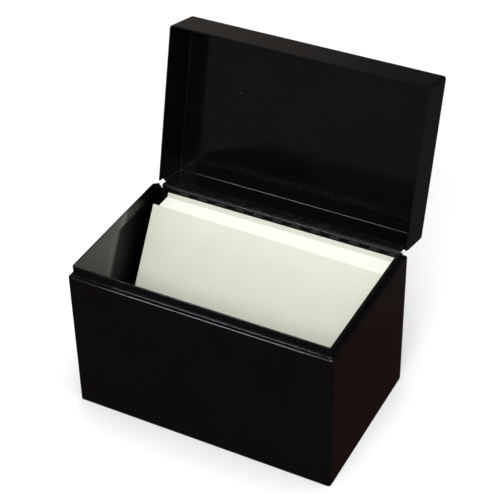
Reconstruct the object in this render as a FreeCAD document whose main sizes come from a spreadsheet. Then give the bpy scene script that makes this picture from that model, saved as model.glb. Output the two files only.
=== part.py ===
import FreeCAD, Part
import math
import os
import Sketcher

# A desk file box for 6 x 4 inch index cards, folded from sheet steel, with a lid on a
# full-width piano hinge and the cards leaning back inside.  Millimetres.  The origin is the
# centre of the flat bottom, +Z is up, and the front faces -Y.  The lid stands open.

V = FreeCAD.Vector
TOLERANCE = 0.02
SHORTEST_STRAIGHT = 1.0

SIZES = [
    # casing
    ("body_width", 165.0, "outside width of the casing"),
    ("body_depth", 101.6, "outside depth of the casing"),
    ("ledge_height", 93.5, "height of the ledge that the lid closes on"),
    ("sheet", 0.8, "thickness of the steel sheet"),
    ("corner_radius", 1.8, "outside radius of the upright corners"),
    ("lip_inset", 2.2, "step inwards from the wall to the lip"),
    ("lip_height", 6.6, "height of the lip above the ledge"),
    ("lip_corner", 1.4, "outside radius of the lip's corners"),
    ("lip_edge", 0.3, "rounding of the lip's top edge"),
    ("lip_root", 0.5, "rounding where the lip rises from the ledge"),
    ("ledge_bend", 1.1, "outside radius of the bend from wall to ledge"),
    ("lip_end_run", 9.0, "where the lip starts to slope down, from the back"),
    ("lip_end_stop", 1.7, "where the lip stops, from the back"),
    ("lip_end_height", 2.6, "height of the lip where it stops"),
    ("back_return", 9.0, "depth of the back panel's side returns"),
    ("pan_flange", 8.0, "height of the bottom pan's turned-up edge"),
    ("pan_clearance", 0.4, "gap over the bottom pan's edge"),
    # lid
    ("lid_inset", 1.0, "step inwards from the casing's sides and front to the lid"),
    ("lid_depth", 26.2, "depth of the lid over its flanges"),
    ("lid_gap", 0.4, "gap between the ledge and the closed lid"),
    ("lid_bend", 1.6, "outside radius of the bend from lid top to flange"),
    ("relief_height", 5.6, "height of the notch at each rear corner of the lid"),
    ("relief_depth", 1.9, "depth of that notch along the lid's side"),
    ("open_angle", 103.5, "angle from closed to open"),
    # hinge
    ("pin_radius", 1.0, "radius of the hinge pin"),
    ("pin_clearance", 0.04, "radial clearance of the pin in the knuckles"),
    ("pin_reach", 0.35, "length of pin beyond the last knuckle"),
    ("leaf", 0.6, "thickness of the hinge leaves"),
    ("leaf_height", 7.5, "height of each leaf from the hinge axis"),
    ("knuckle_pitch", 6.25, "spacing of the knuckles"),
    ("knuckle_pairs", 12.0, "knuckles on the lid's leaf, one fewer than on the casing's"),
    ("knuckle_gap", 0.2, "gap between neighbouring knuckles"),
    ("hinge_rise", 0.6, "height of the hinge axis above the ledge"),
    ("seam_gap", 0.25, "gap between the barrel and the sheet above and below it"),
    # cards
    ("card_width", 152.4, "width of a card"),
    ("card_height", 101.6, "height of a card"),
    ("card_sheet", 0.2, "thickness of a card"),
    ("card_air", 0.02, "air between two cards"),
    ("card_count", 37.0, "cards in the pack behind the front card"),
    ("card_lean", 30.3, "angle that the cards lean back from upright"),
    ("card_fan", 0.024, "how much further each card of the pack is turned than the one behind"),
    ("card_side_gap", 0.35, "gap between a card's edge and the lip at its side"),
    ("card_floor_gap", 0.3, "gap under the cards"),
    ("card_jog", 0.22, "how far the cards of the pack stand out of line"),
    ("card_jog_turn", 139.0, "degrees between neighbouring cards in that unevenness"),
    ("front_air", 0.3, "air behind the front card"),
    ("front_turn", 0.4, "how much further the front card is turned than the pack's first"),
    ("guide_height", 104.4, "height of the guide card at the back"),
    ("guide_sheet", 0.4, "thickness of the guide card"),
    ("guide_gap", 0.35, "gap between the guide card's top and the hinge leaf"),
]


def cell_name(row, column="B"):
    return "%s%d" % (column, row)


def make_sheet(doc):
    """Put every driving size in the spreadsheet, each with its alias."""
    sheet = doc.addObject("Spreadsheet::Sheet", "sizes")
    for row, (alias, value, meaning) in enumerate(SIZES, start=1):
        sheet.set(cell_name(row, "A"), meaning)
        sheet.set(cell_name(row), repr(value))
        sheet.setAlias(cell_name(row), alias)
    doc.recompute()
    return sheet


def bound(text):
    """Turn a formula over the size names into an expression over the sheet's cells."""
    result = []
    word = ""
    aliases = [alias for alias, value, meaning in SIZES]
    for letter in text + " ":
        if letter.isalnum() or letter == "_":
            word += letter
            continue
        result.append("sizes." + word if word in aliases else word)
        result.append(letter)
        word = ""
    return "".join(result).strip()


doc = FreeCAD.newDocument("card_file_box")
sizes = make_sheet(doc)


def value_of(text):
    return float(sizes.evalExpression(bound(text)))


def bind(feature, prop, text):
    feature.setExpression(prop, bound(text))


# Formulas that several pieces share, each written once.
HALF_WIDTH = "body_width / 2"
FRONT = "(-body_depth / 2)"
BACK = "(body_depth / 2)"
BORE = "(pin_radius + pin_clearance)"
BARREL = "(%s + leaf)" % BORE
AXIS_Y = "(body_depth / 2 - sheet - leaf + %s)" % BARREL
AXIS_Z = "(ledge_height + hinge_rise)"
HINGE_HALF = "(knuckle_pitch * (2 * knuckle_pairs + 1) / 2)"
LEAF_INNER = "(-%s)" % BARREL
LEAF_OUTER = "(-%s)" % BORE
SEAM = "(%s + seam_gap)" % BARREL
BACK_TOP = "(ledge_height + hinge_rise - %s)" % SEAM
CARD_PITCH = "(card_sheet + card_air)"
CARD_ROOM = "(body_width / 2 - lip_inset - sheet - card_side_gap - card_jog)"


def new_body(name):
    body = doc.addObject("PartDesign::Body", name)
    body.Label = name
    return body


def origin_plane(body, role):
    for feature in body.Origin.OriginFeatures:
        if feature.Role == role:
            return feature
    raise RuntimeError("no plane " + role)


def arc_through(start, end, radius, counterclockwise):
    """The arc of less than half a turn from start to end with the given radius."""
    middle = (start + end) * 0.5
    chord = end - start
    height = math.sqrt(max(radius ** 2 - (chord.Length / 2) ** 2, 0.0))
    side = V(-chord.y, chord.x, 0)
    side.normalize()
    centre = middle + side * (height if counterclockwise else -height)
    first, last = (start, end) if counterclockwise else (end, start)
    start_angle = math.atan2(first.y - centre.y, first.x - centre.x)
    end_angle = math.atan2(last.y - centre.y, last.x - centre.x)
    circle = Part.Circle(centre, V(0, 0, 1), radius)
    return Part.ArcOfCircle(circle, start_angle, end_angle)


def outline(body, name, plane, corners, lift=None):
    """A closed sketch through the corners.

    A corner is (x, y) or (x, y, radius, turn): with a radius, the edge from this corner to
    the next is an arc, and turn is "ccw" or "cw".  Every value is a formula.
    """
    sketch = body.newObject("Sketcher::SketchObject", name)
    sketch.AttachmentSupport = [(origin_plane(body, plane), "")]
    sketch.MapMode = "FlatFace"
    if lift is not None:
        bind(sketch, "AttachmentOffset.Base.z", lift)
    points = [V(value_of(corner[0]), value_of(corner[1]), 0) for corner in corners]
    count = len(corners)
    start_of = {}
    end_of = {}
    for index, corner in enumerate(corners):
        start = points[index]
        end = points[(index + 1) % count]
        if len(corner) == 2:
            geometry = sketch.addGeometry(Part.LineSegment(start, end))
            start_of[index] = (geometry, 1)
            end_of[index] = (geometry, 2)
            continue
        counterclockwise = corner[3] == "ccw"
        arc = arc_through(start, end, value_of(corner[2]), counterclockwise)
        geometry = sketch.addGeometry(arc)
        start_of[index] = (geometry, 1 if counterclockwise else 2)
        end_of[index] = (geometry, 2 if counterclockwise else 1)
        number = sketch.addConstraint(Sketcher.Constraint("Radius", geometry, value_of(corner[2])))
        bind(sketch, "Constraints[%d]" % number, corner[2])
    for index, corner in enumerate(corners):
        before = end_of[(index - 1) % count]
        here = start_of[index]
        joined = Sketcher.Constraint("Coincident", before[0], before[1], here[0], here[1])
        sketch.addConstraint(joined)
        for kind, formula in (("DistanceX", corner[0]), ("DistanceY", corner[1])):
            constraint = Sketcher.Constraint(kind, -1, 1, here[0], here[1], value_of(formula))
            number = sketch.addConstraint(constraint)
            bind(sketch, "Constraints[%d]" % number, formula)
    return sketch


def pad(body, name, sketch, length, both_ways=False):
    feature = body.newObject("PartDesign::Pad", name)
    feature.Profile = sketch
    if both_ways:
        feature.SideType = "Symmetric"
    bind(feature, "Length", length)
    doc.recompute()
    return feature


def pocket(body, name, sketch, length, upwards=False, both_ways=False):
    """Cut along the sketch's normal when upwards, else against it, and test that it cut."""
    before = body.Shape.Volume
    feature = body.newObject("PartDesign::Pocket", name)
    feature.Profile = sketch
    if both_ways:
        feature.SideType = "Symmetric"
    else:
        feature.Reversed = upwards
    bind(feature, "Length", length)
    doc.recompute()
    if not body.Shape.Volume < before:
        raise RuntimeError(name + " cuts nothing")
    return feature


def round_edges(body, name, radius, wanted):
    """Round every edge of the body's last shape that the test accepts."""
    base = body.Tip
    edges = []
    for number, edge in enumerate(base.Shape.Edges, start=1):
        if wanted(edge):
            edges.append("Edge%d" % number)
    if not edges:
        raise RuntimeError(name + " finds no edge")
    feature = body.newObject("PartDesign::Fillet", name)
    feature.Base = (base, edges)
    bind(feature, "Radius", radius)
    doc.recompute()
    return feature


def near(first, second):
    return abs(first - second) < TOLERANCE


def level(edge, height):
    """True for an edge that lies flat at the given height."""
    box = edge.BoundBox
    return near(box.ZMin, height) and near(box.ZMax, height)


def u_shape(body, name, outer, inner, outer_radius, inner_radius, lift=None):
    """A sheet bent round the front and both sides, open at the back, seen from above."""
    half_out = "(%s - (%s))" % (HALF_WIDTH, outer)
    half_in = "(%s - (%s))" % (HALF_WIDTH, inner)
    front_out = "(%s + (%s))" % (FRONT, outer)
    front_in = "(%s + (%s))" % (FRONT, inner)
    corners = [
        ("-" + half_out, BACK),
        ("-" + half_out, front_out + " + " + outer_radius, outer_radius, "ccw"),
        ("-" + half_out + " + " + outer_radius, front_out),
        (half_out + " - " + outer_radius, front_out, outer_radius, "ccw"),
        (half_out, front_out + " + " + outer_radius),
        (half_out, BACK),
        (half_in, BACK),
        (half_in, front_in + " + " + inner_radius, inner_radius, "cw"),
        (half_in + " - " + inner_radius, front_in),
        ("-" + half_in + " + " + inner_radius, front_in, inner_radius, "cw"),
        ("-" + half_in, front_in + " + " + inner_radius),
        ("-" + half_in, BACK),
    ]
    return outline(body, name, "XY_Plane", corners, lift)


def rectangle(body, name, plane, low, high, lift=None):
    corners = [(low[0], low[1]), (high[0], low[1]), (high[0], high[1]), (low[0], high[1])]
    return outline(body, name, plane, corners, lift)


def make_wrapper():
    """Front and both sides in one sheet, stepped in at the top to form the lip."""
    body = new_body("casing_wrapper")
    inner_corner = "(corner_radius - sheet)"
    lip_inner = "(lip_inset + sheet)"
    lip_inner_corner = "(lip_corner - sheet)"
    ledge_base = "ledge_height - sheet"
    wall = u_shape(body, "wall_outline", "0", "sheet", "corner_radius", inner_corner)
    pad(body, "wall", wall, "ledge_height")
    ledge = u_shape(
        body, "ledge_outline", "0", lip_inner, "corner_radius", lip_inner_corner, ledge_base
    )
    pad(body, "ledge", ledge, "sheet")
    lip = u_shape(
        body, "lip_outline", "lip_inset", lip_inner, "lip_corner", lip_inner_corner, ledge_base
    )
    pad(body, "lip", lip, "lip_height + sheet")
    lip_top = value_of("ledge_height + lip_height")
    ledge_top = value_of("ledge_height")
    outer_front = value_of(FRONT)
    outer_side = value_of(HALF_WIDTH)

    def outer_ledge_edge(edge):
        box = edge.BoundBox
        reaches = near(box.YMin, outer_front) or near(abs(box.XMin), outer_side)
        reaches = reaches or near(abs(box.XMax), outer_side)
        crosses = near(box.YMin, box.YMax) and near(box.YMin, value_of(BACK))
        return level(edge, ledge_top) and reaches and not crosses

    def root_edge(edge):
        box = edge.BoundBox
        inside = box.XMin > -outer_side + TOLERANCE and box.XMax < outer_side - TOLERANCE
        crosses = near(box.YMin, box.YMax) and near(box.YMin, value_of(BACK))
        return level(edge, ledge_top) and inside and box.YMin > outer_front + TOLERANCE and not crosses

    round_edges(body, "ledge_bend_round", "ledge_bend", outer_ledge_edge)
    round_edges(body, "lip_root_round", "lip_root", root_edge)
    over_lip = "ledge_height + 2 * lip_height"
    slope = outline(body, "lip_end_outline", "YZ_Plane", [
        (BACK + " - lip_end_run", "ledge_height + lip_height"),
        (BACK + " - lip_end_stop", "ledge_height + lip_end_height"),
        (BACK + " - lip_end_stop", "ledge_height"),
        (BACK + " + lip_end_stop", "ledge_height"),
        (BACK + " + lip_end_stop", over_lip),
        (BACK + " - lip_end_run", over_lip),
    ])
    pocket(body, "lip_ends", slope, "body_width", both_ways=True)

    def top_edge(edge):
        return level(edge, lip_top) and edge.Length > SHORTEST_STRAIGHT

    round_edges(body, "lip_top_round", "lip_edge", top_edge)
    return body


def make_back_panel():
    """The back wall, with a return along each side that is welded inside the wrapper."""
    body = new_body("back_panel")
    half = "(%s - sheet)" % HALF_WIDTH
    inner = "(%s - sheet)" % BACK
    plate = rectangle(body, "plate_outline", "XY_Plane", ("-" + half, inner), (half, BACK))
    pad(body, "plate", plate, BACK_TOP)
    for side, sign in (("left", "-"), ("right", "")):
        far = sign + half
        close = "%s(%s - sheet)" % (sign, half)
        low, high = (far, close) if sign else (close, far)
        strip = rectangle(
            body,
            side + "_return_outline",
            "XY_Plane",
            (low, inner + " - back_return"),
            (high, inner),
            "sheet + pan_flange + pan_clearance",
        )
        rise = BACK_TOP + " - hinge_rise - sheet - pan_flange - pan_clearance"
        pad(body, side + "_return", strip, rise)
    return body


def make_bottom_pan():
    """The floor, with its edge turned up and welded inside the walls."""
    body = new_body("bottom_pan")
    half = "(%s - sheet)" % HALF_WIDTH
    low_y = "(%s + sheet)" % FRONT
    high_y = "(%s - sheet)" % BACK
    corner = "(corner_radius - sheet)"
    turn = [
        ("-" + half, high_y),
        ("-" + half, low_y + " + " + corner, corner, "ccw"),
        ("-" + half + " + " + corner, low_y),
        (half + " - " + corner, low_y, corner, "ccw"),
        (half, low_y + " + " + corner),
        (half, high_y),
    ]
    block = outline(body, "pan_outline", "XY_Plane", turn)
    pad(body, "pan_block", block, "sheet + pan_flange")
    hollow = rectangle(
        body,
        "pan_hollow_outline",
        "XY_Plane",
        ("-(%s - sheet)" % half, low_y + " + sheet"),
        ("(%s - sheet)" % half, high_y + " - sheet"),
        "sheet",
    )
    pocket(body, "pan_hollow", hollow, "2 * pan_flange", upwards=True)
    return body


# The lid's own frame has its origin on the hinge axis, with the lid shut.
LID_SWING = (
    "create(<<placement>>; create(<<vector>>; 0; {y}; {z}); "
    "create(<<rotation>>; create(<<vector>>; -1; 0; 0); open_angle))"
).format(y=AXIS_Y, z=AXIS_Z)


def make_lid():
    """A shallow tray with notched rear corners and a cut-back rear edge for the hinge."""
    body = new_body("lid_shell")
    half = "(%s - lid_inset)" % HALF_WIDTH
    rear = "(%s - %s)" % (BACK, AXIS_Y)
    front = "(%s + lid_inset - %s)" % (FRONT, AXIS_Y)
    rim = "(lid_gap - hinge_rise)"
    corner = "corner_radius"
    around = [
        ("-" + half, rear + " - " + corner),
        ("-" + half, front + " + " + corner, corner, "ccw"),
        ("-" + half + " + " + corner, front),
        (half + " - " + corner, front, corner, "ccw"),
        (half, front + " + " + corner),
        (half, rear + " - " + corner, corner, "ccw"),
        (half + " - " + corner, rear),
        ("-" + half + " + " + corner, rear, corner, "ccw"),
    ]
    block = outline(body, "lid_outline", "XY_Plane", around, rim)
    pad(body, "lid_block", block, "lid_depth")
    top = value_of(rim + " + lid_depth")
    round_edges(body, "lid_bend_round", "lid_bend", lambda edge: level(edge, top))
    inner = "(corner_radius - sheet)"
    half_in = "(%s - sheet)" % half
    rear_in = "(%s - sheet)" % rear
    front_in = "(%s + sheet)" % front
    inside = [
        ("-" + half_in, rear_in + " - " + inner),
        ("-" + half_in, front_in + " + " + inner, inner, "ccw"),
        ("-" + half_in + " + " + inner, front_in),
        (half_in + " - " + inner, front_in, inner, "ccw"),
        (half_in, front_in + " + " + inner),
        (half_in, rear_in + " - " + inner, inner, "ccw"),
        (half_in + " - " + inner, rear_in),
        ("-" + half_in + " + " + inner, rear_in, inner, "ccw"),
    ]
    hollow = outline(body, "lid_hollow_outline", "XY_Plane", inside, rim)
    pocket(body, "lid_hollow", hollow, "lid_depth - sheet", upwards=True)
    ceiling = value_of(rim + " + lid_depth - sheet")
    round_edges(body, "lid_inner_round", "lid_bend - sheet", lambda edge: level(edge, ceiling))
    slot = rectangle(
        body,
        "hinge_slot_outline",
        "XZ_Plane",
        ("-%s - knuckle_gap" % HINGE_HALF, "-lid_depth"),
        (HINGE_HALF + " + knuckle_gap", SEAM),
    )
    behind = "(%s - relief_depth)" % rear
    bind(slot, "AttachmentOffset.Base.z", "-(%s)" % behind)
    pocket(body, "hinge_slot", slot, "2 * relief_depth")
    for side, sign in (("left", "-"), ("right", "")):
        near_edge = "%s%s" % (sign, HINGE_HALF)
        far_edge = "%s(%s)" % (sign, HALF_WIDTH)
        low, high = (far_edge, near_edge) if sign else (near_edge, far_edge)
        notch = rectangle(
            body,
            side + "_relief_outline",
            "XZ_Plane",
            (low, "-lid_depth"),
            (high, rim + " + relief_height"),
        )
        bind(notch, "AttachmentOffset.Base.z", "-(%s)" % behind)
        pocket(body, side + "_relief", notch, "2 * relief_depth")
    bind(body, "Placement", LID_SWING)
    doc.recompute()
    return body


def knuckle_outline(body, name, downwards):
    """A knuckle seen along the pin: the leaf's sheet curled once round it."""
    reach = "sqrt(%s ^ 2 - %s ^ 2)" % (BARREL, BORE)
    sign = "-" if downwards else ""
    other = "" if downwards else "-"
    turn = "cw" if downwards else "ccw"
    plate_end = "%s%s" % (sign, SEAM)
    meets = "%s%s" % (sign, reach)
    return outline(body, name, "YZ_Plane", [
        (LEAF_INNER, plate_end),
        (LEAF_INNER, "0", BARREL, turn),
        ("0", "%s%s" % (other, BARREL), BARREL, turn),
        (BARREL, "0", BARREL, turn),
        ("0", "%s%s" % (sign, BARREL), BARREL, turn),
        (LEAF_OUTER, meets),
        (LEAF_OUTER, plate_end),
    ])


def make_leaf(name, downwards, count, first):
    """A hinge leaf: a plate with every second knuckle of the barrel."""
    body = new_body(name)
    sign = "-" if downwards else ""
    plate_low, plate_high = (
        ("-leaf_height", "-" + SEAM) if downwards else (SEAM, "leaf_height")
    )
    plate = rectangle(
        body, name + "_plate", "YZ_Plane", (LEAF_INNER, plate_low), (LEAF_OUTER, plate_high)
    )
    pad(body, name + "_plate_pad", plate, "2 * " + HINGE_HALF, both_ways=True)
    curl = knuckle_outline(body, name + "_curl", downwards)
    start = "-%s + knuckle_pitch * %d + knuckle_gap / 2" % (HINGE_HALF, first)
    bind(curl, "AttachmentOffset.Base.z", start)
    knuckle = pad(body, name + "_knuckle", curl, "knuckle_pitch - knuckle_gap")
    row = body.newObject("PartDesign::LinearPattern", name + "_row")
    row.Originals = [knuckle]
    row.Direction = (origin_plane(body, "X_Axis"), [""])
    row.Mode = "Spacing"
    bind(row, "Offset", "2 * knuckle_pitch")
    bind(row, "Occurrences", count)
    body.Tip = row
    doc.recompute()
    bore = body.newObject("Sketcher::SketchObject", name + "_bore_outline")
    bore.AttachmentSupport = [(origin_plane(body, "YZ_Plane"), "")]
    bore.MapMode = "FlatFace"
    bore_radius = value_of(BORE)
    hole = bore.addGeometry(Part.Circle(V(0, 0, 0), V(0, 0, 1), bore_radius))
    bore.addConstraint(Sketcher.Constraint("Coincident", hole, 3, -1, 1))
    number = bore.addConstraint(Sketcher.Constraint("Radius", hole, bore_radius))
    bind(bore, "Constraints[%d]" % number, BORE)
    pocket(body, name + "_bore", bore, "2 * body_width", both_ways=True)
    return body


def make_pin():
    """The plain steel pin that runs through every knuckle."""
    pin = doc.addObject("Part::Cylinder", "hinge_pin")
    pin.Label = "hinge_pin"
    bind(pin, "Radius", "pin_radius")
    bind(pin, "Height", "2 * (%s + pin_reach)" % HINGE_HALF)
    turned = "create(<<rotation>>; create(<<vector>>; 0; 1; 0); 90)"
    place = "create(<<vector>>; -(%s + pin_reach); %s; %s)" % (HINGE_HALF, AXIS_Y, AXIS_Z)
    bind(pin, "Placement", "create(<<placement>>; %s; %s)" % (place, turned))
    return pin


# The cards lean on one another, and each is turned a little further about the vertical at
# its left foot than the one behind.  "ahead" is the distance, square to the cards, from the
# guide card's back face forward to a card's back face.  "turn" brings the right end forward.
GUIDE_TOP = "(%s - sheet - leaf - guide_gap)" % BACK
FOOT_Z = "(sheet + card_floor_gap + guide_sheet * sin(card_lean))"


def make_card(name, ahead, thickness, height, left, turn):
    """A card: a thin board whose lower back edge stands on the floor of the box."""
    card = doc.addObject("Part::Box", name)
    card.Label = name
    bind(card, "Length", "card_width")
    bind(card, "Width", thickness)
    bind(card, "Height", height)
    foot_y = "(%s - guide_height * sin(card_lean) - (%s + %s) / cos(card_lean))" % (
        GUIDE_TOP, ahead, thickness
    )
    place = "create(<<vector>>; %s; %s; %s)" % (left, foot_y, FOOT_Z)
    yaw = "create(<<rotation>>; create(<<vector>>; 0; 0; -1); %s)" % turn
    lean = "create(<<rotation>>; create(<<vector>>; -1; 0; 0); card_lean)"
    bind(card, "Placement", "create(<<placement>>; %s; %s * %s)" % (place, yaw, lean))
    return card


def make_cards():
    """The guide card at the back, the pack in front of it, and the first card."""
    pack_left = "(%s - card_width)" % CARD_ROOM
    cards = [make_card("guide_card", "0", "guide_sheet", "guide_height", pack_left, "0")]
    count = int(value_of("card_count"))
    for number in range(1, count + 1):
        behind = count - number
        ahead = "(guide_sheet + card_air + %d * %s)" % (behind, CARD_PITCH)
        turn = "(%d * card_fan)" % (behind + 1)
        # a turned card's top swings to the right, so its foot stands that much to the left
        swing = "card_height * sin(card_lean) * sin(%s)" % turn
        jog = "card_jog * sin(%d * card_jog_turn)" % number
        left = "(%s - %s + %s)" % (pack_left, swing, jog)
        name = "index_card_%02d" % number
        cards.append(make_card(name, ahead, "card_sheet", "card_height", left, turn))
    ahead = "(guide_sheet + card_air + card_count * %s - card_air + front_air)" % CARD_PITCH
    turn = "(card_count * card_fan + front_turn)"
    left = "(card_jog - %s)" % CARD_ROOM
    cards.append(make_card("front_card", ahead, "card_sheet", "card_height", left, turn))
    return cards


def check(pieces):
    """Stop before anything is written if any feature failed or any piece is unsound."""
    for item in doc.Objects:
        if "Invalid" in item.State or "Error" in item.State:
            raise RuntimeError("%s failed: %s" % (item.Label, item.State))
    for piece in pieces:
        shape = piece.Shape
        if shape.isNull() or not shape.isValid() or len(shape.Solids) != 1:
            raise RuntimeError("%s is not one sound solid" % piece.Label)


def main():
    pieces = [make_wrapper(), make_back_panel(), make_bottom_pan(), make_lid()]
    body_leaf = make_leaf("hinge_leaf_casing", True, "knuckle_pairs + 1", 0)
    bind(body_leaf, "Placement.Base.y", AXIS_Y)
    bind(body_leaf, "Placement.Base.z", AXIS_Z)
    lid_leaf = make_leaf("hinge_leaf_lid", False, "knuckle_pairs", 1)
    bind(lid_leaf, "Placement", LID_SWING)
    pieces += [body_leaf, lid_leaf, make_pin()]
    pieces += make_cards()
    doc.recompute()
    check(pieces)
    os.makedirs("parts", exist_ok=True)
    for piece in pieces:
        piece.Shape.exportStep("parts/%s.step" % piece.Label)
        box = piece.Shape.BoundBox
        print("%-18s %8.1f mm3  x %.2f %.2f  y %.2f %.2f  z %.2f %.2f" % (
            piece.Label, piece.Shape.Volume, box.XMin, box.XMax, box.YMin, box.YMax,
            box.ZMin, box.ZMax,
        ))


main()
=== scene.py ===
import math

import bpy
from mathutils import Matrix, Vector

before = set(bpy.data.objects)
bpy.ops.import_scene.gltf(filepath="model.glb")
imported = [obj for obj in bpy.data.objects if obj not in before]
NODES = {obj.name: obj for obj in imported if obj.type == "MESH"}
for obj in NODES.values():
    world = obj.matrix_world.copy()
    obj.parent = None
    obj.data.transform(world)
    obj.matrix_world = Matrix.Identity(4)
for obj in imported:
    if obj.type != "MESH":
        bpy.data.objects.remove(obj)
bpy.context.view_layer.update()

# ---------------------------------------------------------------- camera
CAMERA_AZIMUTH = 27.871
CAMERA_ELEVATION = 37.219
CAMERA_ROLL = -1.095
CAMERA_DISTANCE = 0.85524
CAMERA_TARGET = Vector((0.00408, 0.00695, 0.10164))
CAMERA_LENS = 108.57


def make_camera():
    data = bpy.data.cameras.new("camera")
    data.lens = CAMERA_LENS
    data.clip_start = 0.01
    data.clip_end = 50.0
    camera = bpy.data.objects.new("camera", data)
    bpy.context.scene.collection.objects.link(camera)
    azimuth, elevation, roll = (
        math.radians(a) for a in (CAMERA_AZIMUTH, CAMERA_ELEVATION, CAMERA_ROLL)
    )
    back = Vector((
        math.sin(azimuth) * math.cos(elevation),
        -math.cos(azimuth) * math.cos(elevation),
        math.sin(elevation),
    ))
    right = Vector((0, 0, 1)).cross(back).normalized()
    up = back.cross(right)
    right, up = (
        right * math.cos(roll) + up * math.sin(roll),
        up * math.cos(roll) - right * math.sin(roll),
    )
    place = Matrix((right, up, back)).transposed().to_4x4()
    place.translation = CAMERA_TARGET + back * CAMERA_DISTANCE
    camera.matrix_world = place
    bpy.context.scene.camera = camera


# ---------------------------------------------------------------- node helpers
class Graph:
    """A material's node tree, with short ways to add and join nodes."""

    def __init__(self, tree):
        self.tree = tree

    def add(self, kind, inputs=None, **settings):
        node = self.tree.nodes.new(kind)
        for name, value in settings.items():
            setattr(node, name, value)
        for name, value in (inputs or {}).items():
            self.put(node.inputs[name], value)
        return node

    def put(self, socket, value):
        if isinstance(value, bpy.types.NodeSocket):
            self.tree.links.new(value, socket)
        else:
            socket.default_value = value

    def math(self, operation, first, second=0.0, third=0.0, clamp=False):
        node = self.add("ShaderNodeMath", operation=operation, use_clamp=clamp)
        for index, value in enumerate((first, second, third)):
            self.put(node.inputs[index], value)
        return node.outputs[0]

    def mix(self, share, first, second):
        node = self.add("ShaderNodeMix", data_type="RGBA")
        self.put(node.inputs["Factor"], share)
        self.put(node.inputs[6], first)
        self.put(node.inputs[7], second)
        return node.outputs[2]

    def noise(self, where, scale, detail=3.0, roughness=0.5):
        node = self.add("ShaderNodeTexNoise", {
            "Vector": where, "Scale": scale, "Detail": detail, "Roughness": roughness,
        })
        return node.outputs["Fac"]

    def stretch(self, where, factors):
        node = self.add("ShaderNodeMapping", {"Vector": where, "Scale": factors})
        return node.outputs[0]

    def remap(self, value, span, to=(0.0, 1.0), smooth=False):
        node = self.add("ShaderNodeMapRange", {
            "Value": value, "From Min": span[0], "From Max": span[1],
            "To Min": to[0], "To Max": to[1],
        })
        if smooth:
            node.interpolation_type = "SMOOTHSTEP"
        return node.outputs[0]

    def bump(self, height, strength, distance, normal=None):
        node = self.add("ShaderNodeBump", {
            "Height": height, "Strength": strength, "Distance": distance,
        })
        if normal is not None:
            self.put(node.inputs["Normal"], normal)
        return node.outputs[0]


def new_material(name):
    material = bpy.data.materials.new(name)
    material.use_nodes = True
    tree = material.node_tree
    tree.nodes.clear()
    graph = Graph(tree)
    shader = graph.add("ShaderNodeBsdfPrincipled")
    output = graph.add("ShaderNodeOutputMaterial")
    tree.links.new(shader.outputs[0], output.inputs[0])
    place = graph.add("ShaderNodeTexCoord").outputs["Object"]
    return material, graph, shader, place


def rgb(red, green, blue):
    return (red, green, blue, 1.0)


# the span that most of a noise texture's values fall in
NOISE_SPAN = (0.3, 0.7)

# ---------------------------------------------------------------- enamel
# Beside the cards the left wall's inside is a stand-in for the looks only: its shading, not
# its mesh, turns as a bowed wall's would, so that it doesn't mirror the front card there.
BOW_SLOPE = 0.24           # how steeply the shading bows beside the cards
BOW_REACH = 0.036          # how far ahead of the front card the bow goes
BOW_BLEND = 0.014          # how softly it ends there
BOW_ROUGH = 0.13           # how much rougher that wall's inside is
CARD_FOOT = -0.0141        # where the front card's foot stands
CARD_TANGENT = 0.584       # the tangent of its lean
WALL_EDGE = -0.079         # what faces inward to the left of this is the left wall
FACING = 0.5

CLOUD_SCALE, CLOUD_LIFT = 22.0, 1.6
STREAK_STRETCH, STREAK_ROUGH = (30.0, 30.0, 240.0), 0.03
SPECK_SCALE, SPECK_SPAN = 900.0, (0.76, 0.80)
SPECK_SHARE, SPECK_ROUGH, SPECK_TINT = 0.12, 0.3, rgb(0.22, 0.21, 0.19)
PEEL_SCALE, PEEL_STRENGTH, PEEL_DEPTH = 420.0, 0.05, 0.00012
WAVE_SCALE, WAVE_STRENGTH, WAVE_DEPTH = 35.0, 0.10, 0.0006


def bowed_wall(graph, place):
    """The bow's height on the left wall's inside, and a mask of where that wall is."""
    parts = graph.add("ShaderNodeSeparateXYZ", {"Vector": place}).outputs
    card = graph.math("MULTIPLY_ADD", parts["Z"], CARD_TANGENT, CARD_FOOT)
    ahead = graph.math("SUBTRACT", card, parts["Y"])
    bow = graph.math("SMOOTH_MIN", ahead, BOW_REACH, BOW_BLEND)
    facing = graph.add("ShaderNodeTexCoord").outputs["Normal"]
    inward = graph.add("ShaderNodeSeparateXYZ", {"Vector": facing}).outputs["X"]
    left = graph.math("LESS_THAN", parts["X"], WALL_EDGE)
    inside = graph.math("MULTIPLY", graph.math("GREATER_THAN", inward, FACING), left)
    return graph.math("MULTIPLY", graph.math("MULTIPLY", bow, BOW_SLOPE), inside), inside


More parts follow.
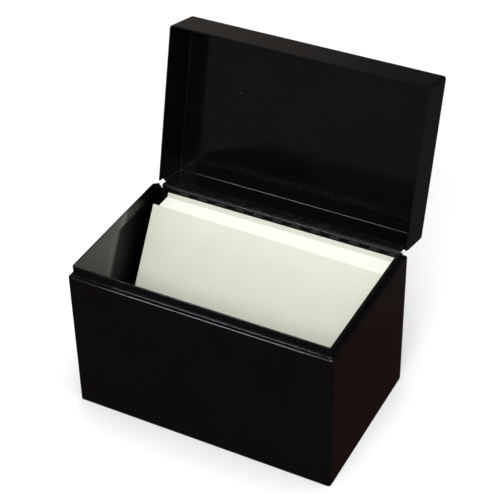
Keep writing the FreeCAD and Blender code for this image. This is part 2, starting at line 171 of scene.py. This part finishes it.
def enamel(name, tint, rough_span, ior, bowed=False):
    """Baked gloss enamel: orange peel, a faint wave, dust specks and uneven gloss."""
    material, graph, shader, place = new_material(name)
    cloud = graph.noise(place, CLOUD_SCALE, 4.0, 0.55)
    streak = graph.noise(graph.stretch(place, STREAK_STRETCH), 1.0, 4.0, 0.6)
    base = graph.mix(cloud, rgb(*tint), rgb(*(channel * CLOUD_LIFT for channel in tint)))
    speck = graph.remap(graph.noise(place, SPECK_SCALE, 1.0), SPECK_SPAN)
    base = graph.mix(graph.math("MULTIPLY", speck, SPECK_SHARE), base, SPECK_TINT)
    graph.put(shader.inputs["Base Color"], base)
    rough = graph.remap(cloud, NOISE_SPAN, rough_span)
    rough = graph.math("ADD", rough, graph.math("MULTIPLY", streak, STREAK_ROUGH))
    speck_rough = graph.math("MULTIPLY", speck, SPECK_ROUGH)
    rough = graph.math("ADD", rough, speck_rough, clamp=True)
    normal = graph.bump(graph.noise(place, WAVE_SCALE, 2.0, 0.4), WAVE_STRENGTH, WAVE_DEPTH)
    peel = graph.noise(place, PEEL_SCALE, 2.0)
    normal = graph.bump(peel, PEEL_STRENGTH, PEEL_DEPTH, normal)
    if bowed:
        bow, inside = bowed_wall(graph, place)
        rough = graph.math("MULTIPLY_ADD", inside, BOW_ROUGH, rough)
        normal = graph.bump(bow, 1.0, 1.0, normal)
    graph.put(shader.inputs["Roughness"], rough)
    graph.put(shader.inputs["Normal"], normal)
    shader.inputs["IOR"].default_value = ior
    return material


# ---------------------------------------------------------------- hinge and pin
HINGE_DARK, HINGE_PALE = rgb(0.0022, 0.0020, 0.0020), rgb(0.006, 0.0055, 0.0055)
HINGE_CLOUD_SCALE, HINGE_ROUGH, HINGE_IOR = 160.0, (0.16, 0.36), 1.32
HINGE_BUMP, HINGE_BUMP_DEPTH = 0.12, 0.0002
RUB_STRETCH, RUB_SCALE, RUB_SPAN = (0.35, 1.0, 1.0), 500.0, (0.50, 0.72)
RUB_SHARE, RUB_METAL, RUB_TINT = 0.20, 0.05, rgb(0.05, 0.043, 0.040)

PIN_PALE, PIN_STAINED = rgb(0.42, 0.26, 0.20), rgb(0.20, 0.10, 0.065)
PIN_STAIN_SCALE, PIN_DRAW_STRETCH = 700.0, (8.0, 900.0, 900.0)
PIN_METAL, PIN_ROUGH = 0.75, (0.38, 0.62)
PIN_BUMP, PIN_BUMP_DEPTH = 0.25, 0.0001


def hinge_paint(name):
    """Enamel over the hinge, rubbed thin in places."""
    material, graph, shader, place = new_material(name)
    cloud = graph.noise(place, HINGE_CLOUD_SCALE, 4.0, 0.6)
    along = graph.noise(graph.stretch(place, RUB_STRETCH), RUB_SCALE, 5.0, 0.7)
    rub = graph.remap(along, RUB_SPAN)
    base = graph.mix(cloud, HINGE_DARK, HINGE_PALE)
    base = graph.mix(graph.math("MULTIPLY", rub, RUB_SHARE), base, RUB_TINT)
    graph.put(shader.inputs["Base Color"], base)
    graph.put(shader.inputs["Roughness"], graph.remap(cloud, NOISE_SPAN, HINGE_ROUGH))
    graph.put(shader.inputs["Metallic"], graph.math("MULTIPLY", rub, RUB_METAL))
    graph.put(shader.inputs["Normal"], graph.bump(cloud, HINGE_BUMP, HINGE_BUMP_DEPTH))
    shader.inputs["IOR"].default_value = HINGE_IOR
    return material


def pin_metal(name):
    """Bare drawn steel, browned with age."""
    material, graph, shader, place = new_material(name)
    stain = graph.noise(place, PIN_STAIN_SCALE, 5.0, 0.7)
    draw = graph.noise(graph.stretch(place, PIN_DRAW_STRETCH), 1.0, 3.0)
    graph.put(shader.inputs["Base Color"], graph.mix(stain, PIN_PALE, PIN_STAINED))
    shader.inputs["Metallic"].default_value = PIN_METAL
    graph.put(shader.inputs["Roughness"], graph.remap(stain, NOISE_SPAN, PIN_ROUGH))
    graph.put(shader.inputs["Normal"], graph.bump(draw, PIN_BUMP, PIN_BUMP_DEPTH))
    return material


# ---------------------------------------------------------------- cards
MOTTLE_SCALE, MOTTLE_FACTORS = 60.0, (0.965, 0.965, 0.95)
FIBRE_STRETCH, FIBRE_SCALE = (1.0, 1.0, 0.45), 1500.0
FIBRE_BUMP, FIBRE_DEPTH = 0.12, 0.00004
FLECK_SCALE, FLECK_SPAN = 2600.0, (0.74, 0.80)
FLECK_SHARE, FLECK_TINT = 0.12, rgb(0.52, 0.49, 0.40)
CARD_ROUGH, CARD_SPECULAR = (0.62, 0.80), 0.3


def card_paper(name, tint, shade=1.0):
    """Smooth card stock: fibre, faint mottling and a slightly soft sheen."""
    material, graph, shader, place = new_material(name)
    mottle = graph.noise(place, MOTTLE_SCALE, 5.0, 0.6)
    fibre = graph.noise(graph.stretch(place, FIBRE_STRETCH), FIBRE_SCALE, 4.0, 0.7)
    shaded = [channel * shade for channel in tint]
    dull = rgb(*(channel * factor for channel, factor in zip(shaded, MOTTLE_FACTORS)))
    base = graph.mix(graph.remap(mottle, NOISE_SPAN), rgb(*shaded), dull)
    fleck = graph.remap(graph.noise(place, FLECK_SCALE, 2.0), FLECK_SPAN)
    base = graph.mix(graph.math("MULTIPLY", fleck, FLECK_SHARE), base, FLECK_TINT)
    graph.put(shader.inputs["Base Color"], base)
    graph.put(shader.inputs["Roughness"], graph.remap(fibre, NOISE_SPAN, CARD_ROUGH))
    shader.inputs["Specular IOR Level"].default_value = CARD_SPECULAR
    graph.put(shader.inputs["Normal"], graph.bump(fibre, FIBRE_BUMP, FIBRE_DEPTH))
    return material


# ---------------------------------------------------------------- painting
BODY_TINT, BODY_ROUGH, BODY_IOR = (0.0018, 0.0016, 0.0018), (0.06, 0.11), 1.5
LID_TINT, LID_ROUGH, LID_IOR = (0.0018, 0.0018, 0.0019), (0.08, 0.14), 1.38
FRONT_CARD_TINT = (0.705, 0.730, 0.612)
GUIDE_TINT, GUIDE_SHADE = (0.60, 0.595, 0.525), 0.97
PACK_TINT, PACK_SHADES = (0.80, 0.805, 0.735), (1.0, 0.985, 1.01, 0.97)


def paint(node, material):
    mesh = NODES[node].data
    mesh.materials.clear()
    mesh.materials.append(material)


def dress():
    body = enamel("enamel_body", BODY_TINT, BODY_ROUGH, BODY_IOR, bowed=True)
    for node in ("casing_wrapper", "back_panel", "bottom_pan"):
        paint(node, body)
    paint("lid_shell", enamel("enamel_lid", LID_TINT, LID_ROUGH, LID_IOR))
    hinge = hinge_paint("enamel_hinge")
    for node in ("hinge_leaf_casing", "hinge_leaf_lid"):
        paint(node, hinge)
    paint("hinge_pin", pin_metal("pin_steel"))
    paint("front_card", card_paper("card_front", FRONT_CARD_TINT))
    paint("guide_card", card_paper("card_guide", GUIDE_TINT, GUIDE_SHADE))
    packs = [
        card_paper("card_pack_%d" % n, PACK_TINT, shade)
        for n, shade in enumerate(PACK_SHADES)
    ]
    cards = sorted(n for n in NODES if n.startswith("index_card"))
    for number, node in enumerate(cards):
        # an uneven round of the shades, so that neighbours differ
        paint(node, packs[(number * 7 + number // 3) % len(packs)])


# ---------------------------------------------------------------- stage
FLOOR_HALF = 6.0
FLOOR_GRAIN, FLOOR_DARK, FLOOR_PALE = 40.0, rgb(0.86, 0.86, 0.86), rgb(0.88, 0.88, 0.88)
FLOOR_ROUGH, FLOOR_SPECULAR = 0.9, 0.1


def make_floor():
    mesh = bpy.data.meshes.new("floor")
    h = FLOOR_HALF
    mesh.from_pydata([(-h, -h, 0), (h, -h, 0), (h, h, 0), (-h, h, 0)], [], [(0, 1, 2, 3)])
    floor = bpy.data.objects.new("floor", mesh)
    bpy.context.scene.collection.objects.link(floor)
    material, graph, shader, place = new_material("floor_white")
    grain = graph.noise(place, FLOOR_GRAIN)
    graph.put(shader.inputs["Base Color"], graph.mix(grain, FLOOR_DARK, FLOOR_PALE))
    shader.inputs["Roughness"].default_value = FLOOR_ROUGH
    shader.inputs["Specular IOR Level"].default_value = FLOOR_SPECULAR
    mesh.materials.append(material)
    # the gloss paint mirrors the dim surroundings below instead of the white floor
    floor.visible_glossy = False


def area_light(name, place, target, size, power, colour):
    data = bpy.data.lights.new(name, "AREA")
    data.shape = "RECTANGLE"
    data.size, data.size_y = size
    data.energy = power
    data.color = colour
    light = bpy.data.objects.new(name, data)
    light.location = place
    direction = Vector(target) - Vector(place)
    light.rotation_mode = "QUATERNION"
    light.rotation_quaternion = direction.to_track_quat("-Z", "Y")
    bpy.context.scene.collection.objects.link(light)
    return light


# what the gloss paint mirrors: a dim table and room
FRONT_TABLE = rgb(0.036, 0.022, 0.028)
FRONT_ROOM = rgb(0.185, 0.188, 0.210)
BACK_TABLE = rgb(0.038, 0.017, 0.014)
BACK_HAZE = rgb(0.045, 0.044, 0.038)
BACK_ROOM_LEFT = rgb(0.165, 0.143, 0.126)
BACK_ROOM_RIGHT = rgb(0.030, 0.028, 0.027)

# where one of those passes into the next, as parts of a direction of length 1
FRONT_RISE = (-0.25, -0.14)
BACK_RISE = (-0.67, -0.57)
ROOM_RISE = (-0.3, 0.1)
FRONT_TO_BACK = (-0.2, 0.4)
LEFT_TO_RIGHT = (-0.48, -0.25)
ROOM_STREAKS, STREAK_SHIFT = (16.0, 3.0, 5.0), 0.22

WHITE = rgb(1, 1, 1)
SOFT_LIGHT = 0.62


def mirrored_room(graph):
    """The dim surroundings, by direction."""
    where = graph.add("ShaderNodeTexCoord").outputs["Generated"]
    split = graph.add("ShaderNodeSeparateXYZ", {"Vector": where})
    across, back, height = (split.outputs[axis] for axis in "XYZ")

    def blend(value, span, first, second):
        return graph.mix(graph.remap(value, span, smooth=True), first, second)

    front = blend(height, FRONT_RISE, FRONT_TABLE, FRONT_ROOM)
    table = blend(height, BACK_RISE, BACK_TABLE, BACK_HAZE)
    uneven = graph.noise(graph.stretch(where, ROOM_STREAKS), 1.0)
    centred = graph.math("ADD", across, -STREAK_SHIFT / 2)
    aside = graph.math("MULTIPLY_ADD", uneven, STREAK_SHIFT, centred)
    room = blend(aside, LEFT_TO_RIGHT, BACK_ROOM_LEFT, BACK_ROOM_RIGHT)
    behind = blend(height, ROOM_RISE, table, room)
    return blend(back, FRONT_TO_BACK, front, behind)


def make_world():
    """White to look at, soft white to light by, and a dim room in mirrored rays."""
    world = bpy.data.worlds.new("world")
    bpy.context.scene.world = world
    world.use_nodes = True
    tree = world.node_tree
    tree.nodes.clear()
    graph = Graph(tree)
    path = graph.add("ShaderNodeLightPath")

    def background(colour, strength):
        node = graph.add("ShaderNodeBackground", {"Color": colour, "Strength": strength})
        return node.outputs[0]

    def choose(share, first, second):
        node = graph.add("ShaderNodeMixShader", {"Fac": share})
        tree.links.new(first, node.inputs[1])
        tree.links.new(second, node.inputs[2])
        return node.outputs[0]

    lit = background(WHITE, SOFT_LIGHT)
    mirrored = background(mirrored_room(graph), 1.0)
    unseen = choose(path.outputs["Is Glossy Ray"], lit, mirrored)
    shown = choose(path.outputs["Is Camera Ray"], unseen, background(WHITE, 1.0))
    output = graph.add("ShaderNodeOutputWorld")
    tree.links.new(shown, output.inputs[0])


# name: place, target, size, power and colour
LIGHTS = {
    "key": ((0.25, -1.05, 1.10), (0, 0, 0.06), (0.8, 0.5), 13.0, (0.95, 0.98, 1.0)),
    "top": ((0.15, 0.10, 1.5), (0, 0, 0.1), (1.2, 1.0), 13.0, (1.0, 0.99, 0.97)),
    "glint": ((-0.50, -1.22, 0.50), (0, -0.05, 0.09), (0.30, 0.24), 6.0, (0.84, 0.92, 1.0)),
}


def make_lights():
    lights = {name: area_light(name, *settings) for name, settings in LIGHTS.items()}
    # only for the highlight along the front's top bend
    lights["glint"].visible_diffuse = False


make_camera()
dress()
make_floor()
make_world()
make_lights()
bpy.context.scene.view_settings.view_transform = "Standard"
bpy.context.scene.view_settings.look = "None"
